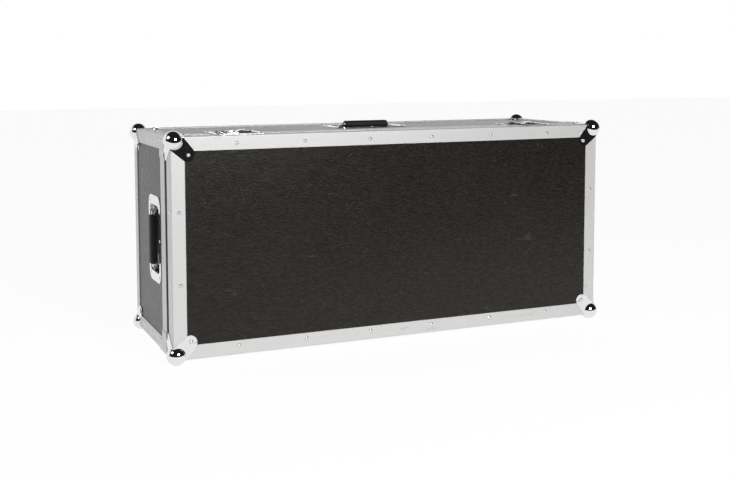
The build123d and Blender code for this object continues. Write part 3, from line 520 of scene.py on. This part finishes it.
def corner_seats(face_y, outward_y):
    """Three seats on each of the four ball corners at the front or the back."""
    seats = []
    for x, out_x in ((LEFT, -1), (RIGHT, 1)):
        for z, out_z in ((BOTTOM, -1), (TOP, 1)):
            in_x, in_y, in_z = (x - out_x * LEAF_FROM_EDGE, face_y - outward_y * LEAF_FROM_EDGE,
                                z - out_z * LEAF_FROM_EDGE)
            seats.append(((in_x, face_y + outward_y * LEAF_RISE, in_z), (0, outward_y, 0)))
            seats.append(((x + out_x * LEAF_RISE, in_y, in_z), (out_x, 0, 0)))
            seats.append(((in_x, in_y, z + out_z * LEAF_RISE), (0, 0, out_z)))
    return seats


def brace_seats(steps, across):
    """Seats on both arms of the four braces: steps along the arm, each at its own distance from the seam."""
    seats = []
    for x, out_x in ((LEFT, -1), (RIGHT, 1)):
        for z, out_z in ((BOTTOM, -1), (TOP, 1)):
            for step, y in zip(steps, across):
                seats.append(((x + out_x * BRACE_RISE, y, z - out_z * step), (out_x, 0, 0)))
                seats.append(((x - out_x * step, y, z + out_z * BRACE_RISE), (0, 0, out_z)))
    return seats


small = (("Head Radius", 0.0030), ("Head Height", 0.0014), ("Flange Radius", 0.0035))
rivet_row("lid_corner_rivets", "lid", "chrome_plate", corner_seats(FRONT, -1), rivet_metal)
rivet_row("base_corner_rivets", "base", "chrome_plate", corner_seats(BACK, 1), rivet_metal)
base_brace = brace_seats((NEAR, FAR, NEAR), (BASE_ROW, BASE_ROW, BASE_ROW_BACK))
lid_brace = brace_seats((NEAR, FAR), (LID_ROW, LID_ROW))
rivet_row("base_brace_rivets", "base", "aluminium", base_brace, rivet_metal, small)
rivet_row("lid_brace_rivets", "lid", "aluminium", lid_brace, rivet_metal, small)


# %% Plates of handles and latches
def plate_seats(node, out_axis, out, inset, places):
    """Seats on a flat plate, at fractions of its half sizes, inset from its rim."""
    low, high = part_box(node)
    middle = (low + high) / 2
    level = high[out_axis] if out > 0 else low[out_axis]
    across = [axis for axis in range(3) if axis != out_axis]
    seats = []
    for fractions in places:
        place = [0.0, 0.0, 0.0]
        place[out_axis] = level
        for axis, fraction in zip(across, fractions):
            place[axis] = middle[axis] + fraction * ((high[axis] - low[axis]) / 2 - inset)
        direction = [0, 0, 0]
        direction[out_axis] = out
        seats.append((tuple(place), tuple(direction)))
    return seats


tiny = (("Head Radius", 0.0030), ("Head Height", 0.0013), ("Flange Radius", 0.0035))
CORNERS = ((-1, -1), (-1, 1), (1, -1), (1, 1))
top_places = [(0.93 * a, 0.86 * b) for a, b in CORNERS] + [(0, -1), (0, 1)]
end_places = [(0.86 * a, 0.93 * b) for a, b in CORNERS] + [(-1, 0), (1, 0)]
HANDLE_INSET, LATCH_INSET = 0.0075, 0.0058


def latch_places(side):
    """Two places beside the wing and two at the outer edge, on the base's plate (1) or the lid's (-1)."""
    return [(-0.97, 0.45 * side), (0.97, 0.45 * side), (-0.5, side), (0.5, side)]


plate_rivets = plate_seats("top_handle_dish", 2, 1, HANDLE_INSET, top_places)
plate_rivets += plate_seats("left_handle_dish", 0, -1, HANDLE_INSET, end_places)
plate_rivets += plate_seats("right_handle_dish", 0, 1, HANDLE_INSET, end_places)
lid_plate_rivets = []
for side in ("left", "right"):
    plate_rivets += plate_seats(side + "_latch_base_dish", 2, 1, LATCH_INSET, latch_places(1))
    lid_plate_rivets += plate_seats(side + "_latch_lid_dish", 2, 1, LATCH_INSET, latch_places(-1))
rivet_row("plate_rivets", "base", "chrome_plate", plate_rivets, nickel, tiny)
rivet_row("lid_plate_rivets", "lid", "chrome_plate", lid_plate_rivets, nickel, tiny)

# %% Hinge leaves
HINGE_STEP, HINGE_INSET, HINGE_DROP = 0.022, 0.008, 0.0005


def hinge_seats(leaf):
    """Three seats on each side's leaf, in a row along its outer edge, facing down."""
    seats = []
    for side in ("left", "right"):
        low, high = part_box(side + leaf)
        y = high.y - HINGE_INSET if "base" in leaf else low.y + HINGE_INSET
        for step in (-1, 0, 1):
            x = (low.x + high.x) / 2 + step * HINGE_STEP
            seats.append(((x, y, BOTTOM - HINGE_DROP), (0, 0, -1)))
    return seats


rivet_row("hinge_rivets", "base", "chrome_plate", hinge_seats("_hinge_base_leaf"), nickel, tiny)
rivet_row("lid_hinge_rivets", "lid", "chrome_plate", hinge_seats("_hinge_lid_leaf"), nickel, tiny)

# %% [markdown]
# ## The foam lining
#
# The base is filled with a block of foam, cut out for the tube and for accessories, and the lid with a
# softer sheet with a hollow. The solids say where the foam goes. Here each becomes a soft piece: the edges
# are rounded over as knife-cut foam relaxes, and the faces swell and sink a little. Both are made as a fine
# grid of blocks, merged, with the cut-outs left open, then smoothed and pushed about by noise.


# %% Foam from the solids' own shape
GRID, BULGE, SKIN = 0.0060, 0.0010, 0.0002
BROAD, FINE, FINE_SHARE = 14.0, 60.0, 0.35


def soft_copy(sources, name):
    """One remeshed copy of some foam solids, with relaxed edges and an uneven surface."""
    mesh = bpy.data.meshes.new(name)
    bm = bmesh.new()
    for node in sources:
        bm.from_mesh(nodes[node].data)
    bmesh.ops.remove_doubles(bm, verts=bm.verts, dist=1e-6)
    bm.to_mesh(mesh)
    bm.free()
    piece = bpy.data.objects.new(name, mesh)
    bpy.context.scene.collection.objects.link(piece)
    remesh = piece.modifiers.new("remesh", "REMESH")
    remesh.mode = "VOXEL"
    remesh.voxel_size = GRID
    relax = piece.modifiers.new("relax", "SMOOTH")
    relax.factor = 0.5
    relax.iterations = 4
    seen = piece.evaluated_get(bpy.context.evaluated_depsgraph_get())
    soft = bpy.data.meshes.new_from_object(seen)
    piece.modifiers.clear()
    low = [min(v.co[i] for v in mesh.vertices) for i in range(3)]
    high = [max(v.co[i] for v in mesh.vertices) for i in range(3)]
    normals = [vertex.normal.copy() for vertex in soft.vertices]
    places = []
    for vertex, normal in zip(soft.vertices, normals):
        sway = noise.noise(vertex.co * BROAD) + noise.noise(vertex.co * FINE) * FINE_SHARE
        moved = vertex.co - normal * (abs(sway) * BULGE + SKIN)
        places += [min(max(moved[i], low[i]), high[i]) for i in range(3)]
    soft.vertices.foreach_set("co", places)
    soft.update()
    soft.materials.clear()
    soft.materials.append(foam)
    for face in soft.polygons:
        face.use_smooth = True
    piece.data = soft
    return piece


base_foams = sorted(name for name in nodes if name.startswith("base_foam"))
base_lining = soft_copy(base_foams, "base_lining")
lid_lining = soft_copy(["lid_foam"], "lid_lining")
print("lining points:", len(base_lining.data.vertices), len(lid_lining.data.vertices))

# %% Egg-crate pattern in the floor of the lid's hollow
PITCH, CRATE_DEPTH, RIM, WALL, FLAT = 0.042, 0.009, 0.012, 0.046, 0.004
low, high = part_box("lid_foam")
floor_y = max(v.co.y for v in lid_lining.data.vertices
              if abs(v.co.x) < 0.1 and abs(v.co.z - MIDDLE) < 0.1)
pressed = 0
for vertex in lid_lining.data.vertices:
    x, y, z = vertex.co
    inside = min(high.x - WALL - abs(x), (high.z - low.z) / 2 - WALL - abs(z - MIDDLE))
    if abs(y - floor_y) < FLAT and inside > 0:
        wave = 0.5 - 0.5 * math.cos(2 * math.pi * x / PITCH) * math.cos(2 * math.pi * (z - MIDDLE) / PITCH)
        vertex.co.y = y - CRATE_DEPTH * wave * min(1, inside / RIM)
        pressed += 1
print("egg-crate points:", pressed)

# %% The linings ride on their bodies
for piece, body, solids in ((base_lining, "base", base_foams), (lid_lining, "lid", ["lid_foam"])):
    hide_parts(*solids)
    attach(piece, body)
    print(piece.name, "triangles:", 2 * len(piece.data.polygons))

# %% [markdown]
# ## Floor, backdrop and light
#
# The case stands on white paper in a studio. Paper and air are white to the camera, and the case keeps a
# soft shadow where it meets the paper. Chrome needs something dark to mirror, or it looks like plaster, so
# the room is white low down behind the case and dark elsewhere. One soft box hangs in front and one up to
# the left: they are the two white dots in each ball.

# %% Floor
PAPER_GLOW, GLOW_SHARE = 1.05, 0.90
paper = bpy.data.materials.new("paper")
paper.use_nodes = True
tree = paper.node_tree
tree.nodes.clear()
lit = add_node(tree, "ShaderNodeBsdfDiffuse", {}, {"Color": (0.86, 0.86, 0.86, 1)})[0]
glow = add_node(tree, "ShaderNodeEmission", {}, {"Strength": PAPER_GLOW})[0]
path = add_node(tree, "ShaderNodeLightPath")
seen = {0: path["Is Camera Ray"], 1: path["Is Glossy Ray"]}
either = add_node(tree, "ShaderNodeMath", {"operation": "MAXIMUM"}, seen)[0]
share = add_node(tree, "ShaderNodeMath", {"operation": "MULTIPLY"}, {0: either, 1: GLOW_SHARE})[0]
mixed = add_node(tree, "ShaderNodeMixShader", {}, {0: share, 1: lit, 2: glow})[0]
add_node(tree, "ShaderNodeOutputMaterial", {}, {"Surface": mixed})
floor_mesh = bpy.data.meshes.new("floor")
SIDE, FRONT_EDGE, BACK_EDGE = 14.0, -1.3, 14.0
paper_corners = [(-SIDE, FRONT_EDGE, 0), (SIDE, FRONT_EDGE, 0), (SIDE, BACK_EDGE, 0), (-SIDE, BACK_EDGE, 0)]
floor_mesh.from_pydata(paper_corners, [], [(0, 1, 2, 3)])
floor_mesh.materials.append(paper)
floor = bpy.data.objects.new("floor", floor_mesh)
bpy.context.scene.collection.objects.link(floor)
print("floor:", 2 * SIDE, "m across")

# %% The room, as light from all round
DARK = 0.015
WHITE_FROM_BEHIND, DARK_FROM_HEIGHT = (0.05, 0.50), (0.40, 0.75)
world = bpy.data.worlds.new("room")
bpy.context.scene.world = world
world.use_nodes = True
tree = world.node_tree
tree.nodes.clear()


def fade(value, start, end, first, last, settings=None):
    """A node that turns a value into another between two ends."""
    sockets = {"Value": value, 1: start, 2: end, 3: first, 4: last}
    return add_node(tree, "ShaderNodeMapRange", settings, sockets)[0]


direction = add_node(tree, "ShaderNodeTexCoord")["Generated"]
parts = add_node(tree, "ShaderNodeSeparateXYZ", {}, {"Vector": direction})
smooth = {"interpolation_type": "SMOOTHSTEP"}
behind = fade(parts["Y"], *WHITE_FROM_BEHIND, 0.0, 1.0, smooth)
low_down = fade(parts["Z"], *DARK_FROM_HEIGHT, 1.0, 0.0, smooth)
white_part = add_node(tree, "ShaderNodeMath", {"operation": "MULTIPLY"}, {0: behind, 1: low_down})[0]
level = fade(white_part, 0.0, 1.0, DARK, 1.0)
path = add_node(tree, "ShaderNodeLightPath")
choice = {0: path["Is Camera Ray"], 2: level, 3: 1.0}
strength = add_node(tree, "ShaderNodeMix", {"data_type": "FLOAT"}, choice)[0]
air = add_node(tree, "ShaderNodeBackground", {}, {"Color": (1, 1, 1, 1), "Strength": strength})[0]
add_node(tree, "ShaderNodeOutputWorld", {}, {"Surface": air})
print("room:", world.name)


# %% Soft boxes
AIM = (0, 0, 0.25)


def soft_box(name, place, width, height, power):
    data = bpy.data.lights.new(name, "AREA")
    data.shape = "RECTANGLE"
    data.size, data.size_y = width, height
    data.energy = power
    lamp = bpy.data.objects.new(name, data)
    bpy.context.scene.collection.objects.link(lamp)
    lamp.location = place
    lamp.rotation_euler = (Vector(AIM) - Vector(place)).to_track_quat("-Z", "Y").to_euler()


soft_box("key", (0.30, -3.15, 1.55), 1.2, 1.0, 72)
soft_box("left", (-3.0, -0.6, 2.2), 1.1, 1.1, 20)
